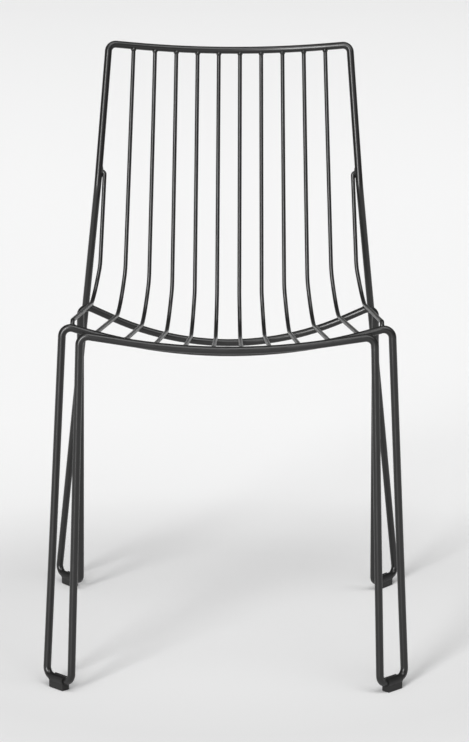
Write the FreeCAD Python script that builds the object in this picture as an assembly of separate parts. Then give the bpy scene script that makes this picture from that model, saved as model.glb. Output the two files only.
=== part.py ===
import FreeCAD, Part
import math
import os

os.makedirs("parts", exist_ok=True)
V = FreeCAD.Vector

# A stacking side chair bent from steel rod and filled with wires.
# Millimetres. X is to the right as seen from the front, Y to the back and Z up.
# Every bent rod is given by the sharp corners of its right half and the radius of each bend.
# Widths are from the middle of the chair, depths are behind the inner front feet and heights
# are above the floor. A rail sags, and bows to the back, between its two corners.

# Round stock
rod_d = 9.8
wire_d = 5.6
bend_r = 11.0
weld_sink = 0.3
rod_r = rod_d / 2
wire_r = wire_d / 2

# Clip-on glides under the foot bars
glide_drop = 8.0
glide_length = 26.0
glide_wall = 1.7
glide_gap = 0.1
glide_base_width = 11.0
glide_mouth_angle = 50.0
glide_chamfer = 1.0
foot_height = glide_drop + rod_r

# Front lip rod, with the inner front legs
lip_width = 181.5
lip_depth = 12.0
lip_height = 454.7
lip_sag = 27.5
lip_end_run = 50.4
lip_foot_width = 194.0

# Seat front rod, which carries the wires, with the outer front legs
front_width = 204.5
front_depth = 44.5
front_height = 461.5
front_sag = 62.5
front_end_run = 6.3
front_foot_width = 227.0
front_foot_depth = 34.5

# Seat rear rod, with the inner rear legs
rear_width = 200.5
rear_depth = 352.0
rear_height = 437.0
rear_sag = 94.5
rear_bow = 22.0
rear_end_run = 31.2
rear_foot_width = 210.5
rear_foot_depth = 474.0

# Back hoop, with the outer rear legs
back_width = 167.0
back_depth = 493.0
back_height = 779.0
back_sag = 17.5
back_bow = 46.0
back_end_run = 23.7
hip_width = 180.0
hip_depth = 428.0
hip_height = 591.5
hip_bend_r = 45.0
hoop_foot_width = 244.5
hoop_foot_depth = 521.0

# Ten inner wires, placed at a half, one and a half and so on from the middle
inner_places = (0.5, 1.5, 2.5, 3.5, 4.5)
top_pitch = 29.6
knee_pitch = 30.7
knee_fan = 0.0013
rear_pitch = 33.2
front_pitch = 36.3
knee_rise = 57.5
knee_bend_r = 205.0
seat_bend_r = 57.0
rest_angle = 7.0
front_reach = 1.0
front_step = 0.5
top_sink = 3.0

# Two outermost wires, from a hook on each side rod, above its hip bend, to a stub on the front rod
hook_rise = 17.0
hook_drop = 1.0
hook_gap = 0.3
hook_bend_r = 4.5
side_knee_offset = 4.9
side_knee_rise = 48.5
side_knee_bend_r = 110.0
side_rear_inset = 15.5
side_seat_bend_r = 46.0
side_front_inset = 12.5
stub_gap = 1.9
stub_bend_r = 5.5


def opposite(point):
    """The same point on the left half."""
    return V(-point.x, point.y, point.z)


def unit(vector):
    """A copy of the vector with a length of one."""
    return V(vector).normalize()


def rounded_path(corners, radii):
    """Straight runs between the corners, joined by arcs that are tangent to both runs."""
    edges = []
    start = corners[0]
    for before, corner, after, radius in zip(corners, corners[1:], corners[2:], radii):
        back = unit(before - corner)
        ahead = unit(after - corner)
        half = back.getAngle(ahead) / 2
        reach = radius / math.tan(half)
        inward = unit(back + ahead)
        first = corner + back * reach
        last = corner + ahead * reach
        middle = corner + inward * (radius / math.sin(half) - radius)
        edges.append(Part.LineSegment(start, first).toShape())
        edges.append(Part.Arc(first, middle, last).toShape())
        start = last
    edges.append(Part.LineSegment(start, corners[-1]).toShape())
    return Part.Wire(edges)


def bent_bar(corners, radii, diameter):
    """A round bar swept along its rounded path."""
    path = rounded_path(corners, radii)
    circle = Part.Circle(corners[0], unit(corners[1] - corners[0]), diameter / 2)
    return path.makePipeShell([Part.Wire(circle.toShape())], True, False)


def frame_route(right_half, right_radii, bow, sag, end_run):
    """The corners and bends of a symmetric rod, whose rail is one arc but for its end runs."""
    corner = right_half[-1]
    dip = V(0, corner.y + bow, corner.z - sag)
    back = right_half[-2] - corner
    ahead = dip - corner
    reach = right_radii[-1] / math.tan(back.getAngle(ahead) / 2)
    rail_r = (ahead.Length - reach - end_run) * corner.x / math.hypot(bow, sag)
    left_half = [opposite(point) for point in reversed(right_half)]
    return right_half + [dip] + left_half, right_radii + [rail_r] + right_radii[::-1]


def crossing(line, x):
    """The highest point of a rod's centre line at a distance x from the middle of the chair."""
    plane = Part.Plane(V(x, 0, 0), V(1, 0, 0)).toShape(-2000, 2000, -2000, 2000)
    points = [vertex.Point for vertex in line.section(plane).Vertexes]
    return max(points, key=lambda point: point.z)


def climb(line, x):
    """The angle by which a rod's centre line climbs at a distance x from the middle."""
    step = 0.5
    return math.atan2(crossing(line, x + step).z - crossing(line, x - step).z, 2 * step)


def tangent(start, middle, radius):
    """The direction from a point to the edge of a round bend, in the plane of Y and Z."""
    way = V(0, middle.y - start.y, middle.z - start.z)
    swing = math.asin(radius / way.Length)
    across = V(0, -way.z, way.y)
    return unit(way * math.cos(swing) + across * math.sin(swing))


def over_rear_rod(top, front, knee_x, knee_height, rear_x, seat_r):
    """The knee and the seat corner of a wire whose seat bend lies on top of the rear rod."""
    lean = math.radians(rest_angle)
    away = V(0, -math.sin(lean), math.cos(lean))
    rest = (rod_r + wire_r - weld_sink) / math.cos(climb(rear_line, rear_x))
    bend_middle = crossing(rear_line, rear_x) + away * (rest + seat_r)
    down = tangent(top, bend_middle, seat_r)
    back = tangent(front, bend_middle, -seat_r)
    run = (front - top).cross(back).x / down.cross(back).x
    corner = top + down * run
    knee = corner + down * (knee_height / down.z)
    corner.x = rear_x
    knee.x = knee_x
    return knee, corner


def inner_wire(place):
    """A wire from under the top rail, over the rear rod, to the back of the front rod."""
    top_x = top_pitch * place
    knee_x = knee_pitch * place * (1 + knee_fan * place ** 2)
    rear_x = rear_pitch * place
    front_x = front_pitch * place
    lift = (rod_r - wire_r - front_step) / math.cos(climb(front_line, front_x))
    top = crossing(back_line, top_x) - V(0, 0, top_sink)
    front = crossing(front_line, front_x) + V(0, front_reach, lift)
    knee, corner = over_rear_rod(top, front, knee_x, knee_rise, rear_x, seat_bend_r)
    return [top, knee, corner, front], [knee_bend_r, seat_bend_r]


def outer_wire():
    """A wire from its hook on the side rod, over the rear rod's corner, to its stub in front."""
    side_rod = back_corner - hip_corner
    tip = hip_corner + side_rod * (hook_rise / side_rod.z)
    hook = tip - V(rod_r + wire_r + hook_gap, 0, hook_drop)
    stub_end = crossing(front_line, front_width - side_front_inset)
    stub = stub_end + V(0, 0, rod_r + wire_r + stub_gap)
    knee_x = hook.x + side_knee_offset
    rear_x = rear_width - side_rear_inset
    knee, corner = over_rear_rod(hook, stub, knee_x, side_knee_rise, rear_x, side_seat_bend_r)
    radii = [hook_bend_r, side_knee_bend_r, side_seat_bend_r, stub_bend_r]
    return [tip, hook, knee, corner, stub, stub_end], radii


def glide(inner_foot, outer_foot, side):
    """A clip with a flat base, snapped on a foot bar from below."""
    sleeve_r = rod_r + glide_gap + glide_wall
    low = V(-glide_length / 2, 0, foot_height)
    along = V(1, 0, 0)
    sleeve = Part.makeCylinder(sleeve_r, glide_length, low, along)
    corner = V(-glide_length / 2, -glide_base_width / 2, 0)
    base = Part.makeBox(glide_length, glide_base_width, foot_height, corner)
    sole = [edge for edge in base.Edges if edge.BoundBox.ZMax < 0.01]
    base = base.makeChamfer(glide_chamfer, sole)
    bore = Part.makeCylinder(rod_r + glide_gap, glide_length, low, along)
    half = 2 * sleeve_r * math.tan(math.radians(glide_mouth_angle))
    top_z = foot_height + 2 * sleeve_r
    low_left = V(low.x, -half, top_z)
    low_right = V(low.x, half, top_z)
    wedge = Part.makePolygon([low, low_right, low_left, low])
    mouth = Part.Face(wedge).extrude(V(glide_length, 0, 0))
    clip = base.fuse(sleeve).removeSplitter().cut(bore).cut(mouth)
    reach = outer_foot - inner_foot
    middle = (outer_foot + inner_foot) * 0.5
    clip.rotate(V(0, 0, 0), V(0, 0, 1), side * math.degrees(math.atan2(reach.y, reach.x)))
    clip.translate(V(side * middle.x, middle.y, 0))
    return clip


lip_foot = V(lip_foot_width, 0, foot_height)
front_foot = V(front_foot_width, front_foot_depth, foot_height)
rear_foot = V(rear_foot_width, rear_foot_depth, foot_height)
hoop_foot = V(hoop_foot_width, hoop_foot_depth, foot_height)
lip_corner = V(lip_width, lip_depth, lip_height)
front_corner = V(front_width, front_depth, front_height)
rear_corner = V(rear_width, rear_depth, rear_height)
hip_corner = V(hip_width, hip_depth, hip_height)
back_corner = V(back_width, back_depth, back_height)
front_weld = (lip_foot + front_foot) * 0.5
rear_weld = (rear_foot + hoop_foot) * 0.5

lip_half = [front_weld, lip_foot, lip_corner]
front_half = [front_weld, front_foot, front_corner]
rear_half = [rear_weld, rear_foot, rear_corner]
back_half = [rear_weld, hoop_foot, hip_corner, back_corner]
lip_route = frame_route(lip_half, [bend_r, bend_r], 0, lip_sag, lip_end_run)
front_route = frame_route(front_half, [bend_r, bend_r], 0, front_sag, front_end_run)
rear_route = frame_route(rear_half, [bend_r, bend_r], rear_bow, rear_sag, rear_end_run)
back_route = frame_route(back_half, [bend_r, hip_bend_r, bend_r], back_bow, back_sag, back_end_run)

front_line = rounded_path(*front_route)
rear_line = rounded_path(*rear_route)
back_line = rounded_path(*back_route)

lip_rod = bent_bar(*lip_route, rod_d)
front_rod = bent_bar(*front_route, rod_d)
rear_rod = bent_bar(*rear_route, rod_d)
back_hoop = bent_bar(*back_route, rod_d)

parts = {
    "front_lip_rod": lip_rod,
    "seat_front_rod": front_rod,
    "seat_rear_rod": rear_rod,
    "back_hoop": back_hoop,
}

routes = [inner_wire(place) for place in inner_places] + [outer_wire()]
right_wires = [bent_bar(*route, wire_d).cut([back_hoop, rear_rod, front_rod]) for route in routes]
left_wires = [wire.mirror(V(0, 0, 0), V(1, 0, 0)) for wire in reversed(right_wires)]
for number, wire in enumerate(left_wires + right_wires, 1):
    parts["wire_%02d" % number] = wire

for name, side in (("left", -1), ("right", 1)):
    parts["glide_front_" + name] = glide(lip_foot, front_foot, side)
    parts["glide_rear_" + name] = glide(rear_foot, hoop_foot, side)

# The origin lies on the floor, under the middle of the whole chair
middle_y = Part.makeCompound(list(parts.values())).optimalBoundingBox().Center.y
for name, shape in parts.items():
    shape.translate(V(0, -middle_y, 0))
    shape.exportStep("parts/" + name + ".step")
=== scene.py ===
import math

import bmesh
import bpy
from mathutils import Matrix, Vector, noise
from mathutils.bvhtree import BVHTree


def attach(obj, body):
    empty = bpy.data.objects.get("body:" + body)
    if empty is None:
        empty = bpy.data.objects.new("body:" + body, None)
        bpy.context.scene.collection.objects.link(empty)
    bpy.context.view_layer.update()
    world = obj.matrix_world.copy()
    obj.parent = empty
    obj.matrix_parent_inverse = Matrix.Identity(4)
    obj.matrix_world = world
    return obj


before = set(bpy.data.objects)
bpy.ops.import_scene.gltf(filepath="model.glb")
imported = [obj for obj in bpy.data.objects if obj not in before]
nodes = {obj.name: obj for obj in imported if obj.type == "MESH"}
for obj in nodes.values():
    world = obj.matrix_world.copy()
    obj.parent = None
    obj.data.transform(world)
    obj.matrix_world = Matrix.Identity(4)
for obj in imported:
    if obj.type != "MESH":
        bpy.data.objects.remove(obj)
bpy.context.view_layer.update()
MM = 0.001


def new_material(name):
    """A node material, its tree, its shader and the node of the object's own coordinates."""
    material = bpy.data.materials.new(name)
    material.use_nodes = True
    tree = material.node_tree
    shader = tree.nodes["Principled BSDF"]
    place = tree.nodes.new("ShaderNodeTexCoord")
    return material, tree, shader, place


def noise_node(tree, place, scale, detail=2.0):
    """A noise on the object's own coordinates."""
    field = tree.nodes.new("ShaderNodeTexNoise")
    field.inputs["Scale"].default_value = scale
    field.inputs["Detail"].default_value = detail
    tree.links.new(place.outputs["Object"], field.inputs["Vector"])
    return field


def ramp(tree, source, low, high, start=0.35, end=0.65):
    """A colour ramp between two greys or colours, fed by a noise value."""
    node = tree.nodes.new("ShaderNodeValToRGB")
    node.color_ramp.elements[0].position = start
    node.color_ramp.elements[1].position = end
    node.color_ramp.elements[0].color = low
    node.color_ramp.elements[1].color = high
    tree.links.new(source, node.inputs["Fac"])
    return node


def powder_coat():
    """Satin black powder coat: a fine orange peel, faint unevenness and a little dust."""
    material, tree, shader, place = new_material("powder_coat_satin")
    broad = noise_node(tree, place, 9.0, 3.0)
    tone = ramp(tree, broad.outputs["Fac"], (0.0055, 0.0054, 0.0053, 1), (0.0080, 0.0079, 0.0078, 1))
    tree.links.new(tone.outputs["Color"], shader.inputs["Base Color"])
    patch = noise_node(tree, place, 60.0, 4.0)
    rough = ramp(tree, patch.outputs["Fac"], (0.28, 0.28, 0.28, 1), (0.34, 0.34, 0.34, 1))
    tree.links.new(rough.outputs["Color"], shader.inputs["Roughness"])
    peel = noise_node(tree, place, 1300.0, 1.0)
    bump = tree.nodes.new("ShaderNodeBump")
    bump.inputs["Strength"].default_value = 0.25
    bump.inputs["Distance"].default_value = 0.00006
    tree.links.new(peel.outputs["Fac"], bump.inputs["Height"])
    tree.links.new(bump.outputs["Normal"], shader.inputs["Normal"])
    shader.inputs["Specular IOR Level"].default_value = 0.5
    return material


def glide_plastic():
    """Matt black moulded plastic with a fine spark-eroded grain."""
    material, tree, shader, place = new_material("glide_plastic_matt")
    broad = noise_node(tree, place, 40.0, 3.0)
    tone = ramp(tree, broad.outputs["Fac"], (0.0080, 0.0079, 0.0078, 1), (0.0130, 0.0128, 0.0126, 1))
    tree.links.new(tone.outputs["Color"], shader.inputs["Base Color"])
    grain = noise_node(tree, place, 2600.0, 2.0)
    rough = ramp(tree, grain.outputs["Fac"], (0.46, 0.46, 0.46, 1), (0.58, 0.58, 0.58, 1))
    tree.links.new(rough.outputs["Color"], shader.inputs["Roughness"])
    bump = tree.nodes.new("ShaderNodeBump")
    bump.inputs["Strength"].default_value = 0.4
    bump.inputs["Distance"].default_value = 0.00005
    tree.links.new(grain.outputs["Fac"], bump.inputs["Height"])
    tree.links.new(bump.outputs["Normal"], shader.inputs["Normal"])
    shader.inputs["Specular IOR Level"].default_value = 0.35
    return material


COAT = powder_coat()
PLASTIC = glide_plastic()
for name, node in nodes.items():
    finish = PLASTIC if name.startswith("glide") else COAT
    for slot in node.material_slots:
        slot.material = finish
    if name.startswith("glide"):
        soft = node.modifiers.new("soft_edges", "BEVEL")
        soft.width = 0.3 * MM
        soft.segments = 2
        soft.limit_method = "ANGLE"


def finish_piece(name, mesh_builder):
    """A mesh object from a bmesh, in the powder coat, riding on the chair."""
    mesh = bpy.data.meshes.new(name)
    mesh_builder.to_mesh(mesh)
    mesh_builder.free()
    for face in mesh.polygons:
        face.use_smooth = True
    piece = bpy.data.objects.new(name, mesh)
    bpy.context.scene.collection.objects.link(piece)
    mesh.materials.append(COAT)
    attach(piece, "root")
    return piece


def surface(node):
    """A search tree of a rod's faces."""
    mesh = node.data
    return BVHTree.FromPolygons([v.co for v in mesh.vertices], [p.vertices for p in mesh.polygons])


CONTACT_GAP = 0.12 * MM
# Each weld's length along the wire, width, and depth off the rod
WELD_PAD = (7.2 * MM, 6.8 * MM, 2.4 * MM)
WELD_SEAM = (16.0 * MM, 6.0 * MM, 3.0 * MM)
SEAM_RIPPLES = 7
# The fillet under the top rail: pairs of a drop down the wire and a radius
FLARE = [(-0.6 * MM, 3.9 * MM), (0.4 * MM, 3.7 * MM), (1.2 * MM, 3.2 * MM),
         (2.4 * MM, 2.85 * MM), (4.0 * MM, 2.6 * MM)]


def contact(wire, rod):
    """The middle of the edge where a wire's end or side was fitted to a rod, and the way off the rod."""
    near = []
    for vertex in wire.data.vertices:
        point, normal, _, distance = rod.find_nearest(vertex.co)
        if distance < CONTACT_GAP:
            near.append((vertex.co.copy(), normal))
    if not near:
        raise SystemExit("no contact on " + wire.name)
    middle = sum((p for p, n in near), Vector()) / len(near)
    away = sum((n for p, n in near), Vector()).normalized()
    return middle, away


def run_of(wire, middle, reach=12 * MM):
    """The way that a wire runs past a point on it."""
    near = [v.co for v in wire.data.vertices if (v.co - middle).length < reach]
    centre = sum(near, Vector()) / len(near)
    farthest = max(near, key=lambda point: (point - centre).length)
    return (farthest - centre).normalized()


def weld(name, middle, along, away, size, ripples=0):
    """A rounded, slightly lumpy pad of weld, longest along the wire and thin off the rod."""
    length, width, depth = size
    builder = bmesh.new()
    bmesh.ops.create_icosphere(builder, subdivisions=4, radius=1.0)
    along = (along - away * along.dot(away)).normalized()
    across = away.cross(along)
    for vertex in builder.verts:
        p = vertex.co.copy()
        lump = 1 + 0.12 * noise.noise(p * 1.7 + middle * 900)
        lump += 0.05 * math.sin(math.pi * ripples * p.x) * (1 - p.x * p.x)
        spread = along * p.x * length + across * p.y * width + away * p.z * depth
        vertex.co = middle + spread * 0.5 * lump
    return finish_piece(name, builder)


def collar(name, middle, down, profile, around=28):
    """A small flared fillet around a wire's end, from pairs of a drop down the wire and a radius."""
    builder = bmesh.new()
    side = down.orthogonal().normalized()
    turn = down.cross(side)
    rings = []
    for drop, radius in profile:
        ring = []
        for step in range(around):
            angle = 2 * math.pi * step / around
            spot = Vector((math.cos(angle), math.sin(angle), drop * 400))
            lump = 1 + 0.05 * noise.noise(middle * 700 + spot)
            out = (side * math.cos(angle) + turn * math.sin(angle)) * radius * lump
            ring.append(builder.verts.new(middle + down * drop + out))
        rings.append(ring)
    for upper, lower in zip(rings, rings[1:]):
        for step in range(around):
            after = (step + 1) % around
            builder.faces.new((upper[step], lower[step], lower[after], upper[after]))
    builder.faces.new(rings[0])
    builder.faces.new(list(reversed(rings[-1])))
    bmesh.ops.recalc_face_normals(builder, faces=builder.faces)
    return finish_piece(name, builder)


WIRES = 12
rods = {"rear": surface(nodes["seat_rear_rod"]), "front": surface(nodes["seat_front_rod"])}
hoop = surface(nodes["back_hoop"])
for number in range(1, WIRES + 1):
    wire = nodes["wire_%02d" % number]
    for place, rod in rods.items():
        middle, away = contact(wire, rod)
        weld("weld_%s_%02d" % (place, number), middle, run_of(wire, middle), away, WELD_PAD)
    middle, away = contact(wire, hoop)
    if number in (1, WIRES):
        up = Vector((0, 0, 1))
        weld("weld_side_%02d" % number, middle, up, away, WELD_SEAM, ripples=SEAM_RIPPLES)
    else:
        run = run_of(wire, middle)
        down = run if run.z < 0 else -run
        collar("weld_top_%02d" % number, middle, down, FLARE)


def grey(value):
    """The linear colour of a grey that is given as it shows on a screen, from 0 to 255."""
    level = value / 255
    level = level / 12.92 if level <= 0.04045 else ((level + 0.055) / 1.055) ** 2.4
    return (level, level, level, 1)


# The studio floor, in metres, with greys by the distance from the chair. The greys are painted light and
# shade: they stand in for the studio light's fall-off across the floor, and are raised where the chair's
# shadow falls so that the shadow is thinner
FLOOR_R = 45.0
FLOOR_SIDES = 60
FLOOR_PAINTED_LIGHT_GREYS = [(0.0, 238), (0.45, 226), (0.8, 243), (1.4, 247),
               (5.0, 247), (10.0, 242), (18.0, 235)]


def paper():
    """Matt white paper, whose grey changes a little with the distance from the chair. This is painted
    light and shade: it stands in for the fall-off of the studio light and is lighter where the chair's
    shadow falls.
    """
    material, tree, shader, place = new_material("studio_paper")
    away = tree.nodes.new("ShaderNodeVectorMath")
    away.operation = "LENGTH"
    tree.links.new(place.outputs["Object"], away.inputs[0])
    share = tree.nodes.new("ShaderNodeMath")
    share.operation = "DIVIDE"
    share.inputs[1].default_value = FLOOR_PAINTED_LIGHT_GREYS[-1][0]
    tree.links.new(away.outputs["Value"], share.inputs[0])
    # painted light and shade: the paper's grey by distance stands in for the studio light's fall-off and
    # lifts the chair's shadow
    tone = tree.nodes.new("ShaderNodeValToRGB")
    elements = tone.color_ramp.elements
    while len(elements) < len(FLOOR_PAINTED_LIGHT_GREYS):
        elements.new(0.5)
    for element, (distance, value) in zip(elements, FLOOR_PAINTED_LIGHT_GREYS):
        element.position = distance / FLOOR_PAINTED_LIGHT_GREYS[-1][0]
        element.color = grey(value)
    tree.links.new(share.outputs["Value"], tone.inputs["Fac"])
    tree.links.new(tone.outputs["Color"], shader.inputs["Base Color"])
    shader.inputs["Roughness"].default_value = 0.9
    shader.inputs["Specular IOR Level"].default_value = 0.0
    return material


def floor():
    """A wide round floor of pale paper under the chair."""
    builder = bmesh.new()
    bmesh.ops.create_circle(builder, cap_ends=True, segments=FLOOR_SIDES, radius=FLOOR_R)
    mesh = bpy.data.meshes.new("floor")
    builder.to_mesh(mesh)
    builder.free()
    ground = bpy.data.objects.new("floor", mesh)
    bpy.context.scene.collection.objects.link(ground)
    mesh.materials.append(paper())


floor()


# Lamps, in degrees: a tall key at the left of the camera and a soft bank overhead
KEY_AZIMUTH = -25
KEYS = ((4, 1.2, 12), (17, 1.2, 14), (30, 1.1, 14))
BANK = ((-18, 70), (12, 60), (48, 53))
BANK_STRENGTH = 0.63
BANK_ANGLE = 35
FILL = 0.16


def sun(name, azimuth, elevation, strength, angle):
    """A soft lamp far away. Azimuth 0 is in front of the chair and 90 on its right."""
    lamp = bpy.data.lights.new(name, "SUN")
    lamp.energy = strength
    lamp.angle = math.radians(angle)
    thing = bpy.data.objects.new(name, lamp)
    a, e = math.radians(azimuth), math.radians(elevation)
    thing.location = Vector((math.sin(a) * math.cos(e), -math.cos(a) * math.cos(e), math.sin(e))) * 5
    thing.rotation_euler = (-thing.location).to_track_quat("-Z", "Y").to_euler()
    bpy.context.scene.collection.objects.link(thing)


for elevation, strength, angle in KEYS:
    sun("key_%d" % elevation, KEY_AZIMUTH, elevation, strength, angle)
for azimuth, elevation in BANK:
    sun("bank_%d" % elevation, azimuth, elevation, BANK_STRENGTH, BANK_ANGLE)

world = bpy.data.worlds.new("studio")
world.use_nodes = True
world.node_tree.nodes["Background"].inputs["Color"].default_value = (1, 1, 1, 1)
world.node_tree.nodes["Background"].inputs["Strength"].default_value = FILL
bpy.context.scene.world = world

# The camera: its turns in degrees, its place, and its focal length in heights of the image
CAMERA_PITCH = 11.01
CAMERA_ROLL = -0.27
CAMERA_YAW = 0.052
CAMERA_PLACE = (9.2 * MM, -3367.2 * MM, 1017.5 * MM)
FOCAL_LENGTH = 2580.0 / 742.0
lens = bpy.data.cameras.new("camera")
lens.sensor_fit = "AUTO"
lens.sensor_width = 36.0
lens.lens = FOCAL_LENGTH * lens.sensor_width
lens.clip_start = 0.05
lens.clip_end = 120.0
camera = bpy.data.objects.new("camera", lens)
camera.location = CAMERA_PLACE
camera.rotation_euler = [math.radians(turn) for turn in (90 - CAMERA_PITCH, CAMERA_ROLL, CAMERA_YAW)]
bpy.context.scene.collection.objects.link(camera)
bpy.context.scene.camera = camera
bpy.context.scene.view_settings.view_transform = "Standard"
